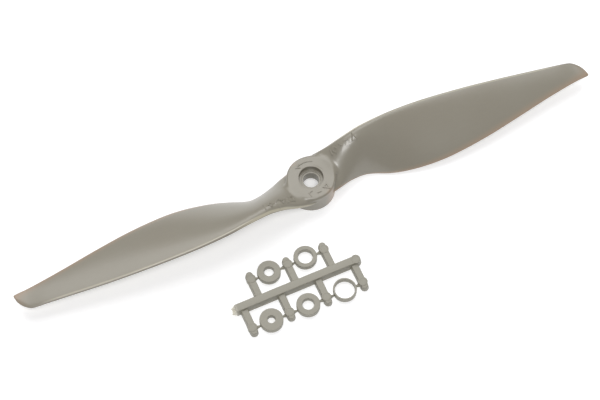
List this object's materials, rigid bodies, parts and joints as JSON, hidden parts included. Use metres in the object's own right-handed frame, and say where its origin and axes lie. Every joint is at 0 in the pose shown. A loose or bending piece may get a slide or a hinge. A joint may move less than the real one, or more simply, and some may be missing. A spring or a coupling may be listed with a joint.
{
  "type": "two-blade model aircraft propeller with shaft adapter rings",
  "caption": "Moulded two-blade tractor propeller with a round stepped hub, lying beside its moulding tree of break-off shaft adapter rings.",
  "frame": {"origin": "on the shaft axis at the hub's flat back face, which is also the table surface", "axes": "+X along one blade, +Y towards that blade's leading edge, +Z along the shaft axis out of the front of the hub"},
  "size_m": [0.254, 0.0643, 0.017],
  "materials": {
    "blade_nylon": "satin glass-filled nylon, warm grey",
    "ring_nylon": "satin moulded nylon, warm grey"
  },
  "bodies": {
    "propeller": {"propeller": "blade_nylon"},
    "ring_tree": {"ring_tree": "ring_nylon"},
    "ring_3mm": {"adapter_ring_3mm": "ring_nylon"},
    "ring_4mm": {"adapter_ring_4mm": "ring_nylon"},
    "ring_5mm": {"adapter_ring_5mm": "ring_nylon"},
    "ring_6mm": {"adapter_ring_6mm": "ring_nylon"},
    "ring_8mm": {"adapter_ring_8mm": "ring_nylon"}
  },
  "joints": [
    {"name": "tree_lift_off", "type": "slide", "parent": "propeller", "child": "ring_tree", "axis": [0, 0, 1], "range_m": [0, 0.06]},
    {"name": "ring_3mm_snap_out", "type": "slide", "parent": "ring_tree", "child": "ring_3mm", "axis": [0, 0, 1], "range_m": [0, 0.02]},
    {"name": "ring_4mm_snap_out", "type": "slide", "parent": "ring_tree", "child": "ring_4mm", "axis": [0, 0, 1], "range_m": [0, 0.02]},
    {"name": "ring_5mm_snap_out", "type": "slide", "parent": "ring_tree", "child": "ring_5mm", "axis": [0, 0, 1], "range_m": [0, 0.02]},
    {"name": "ring_6mm_snap_out", "type": "slide", "parent": "ring_tree", "child": "ring_6mm", "axis": [0, 0, 1], "range_m": [0, 0.02]},
    {"name": "ring_8mm_snap_out", "type": "slide", "parent": "ring_tree", "child": "ring_8mm", "axis": [0, 0, 1], "range_m": [0, 0.02]}
  ]
}
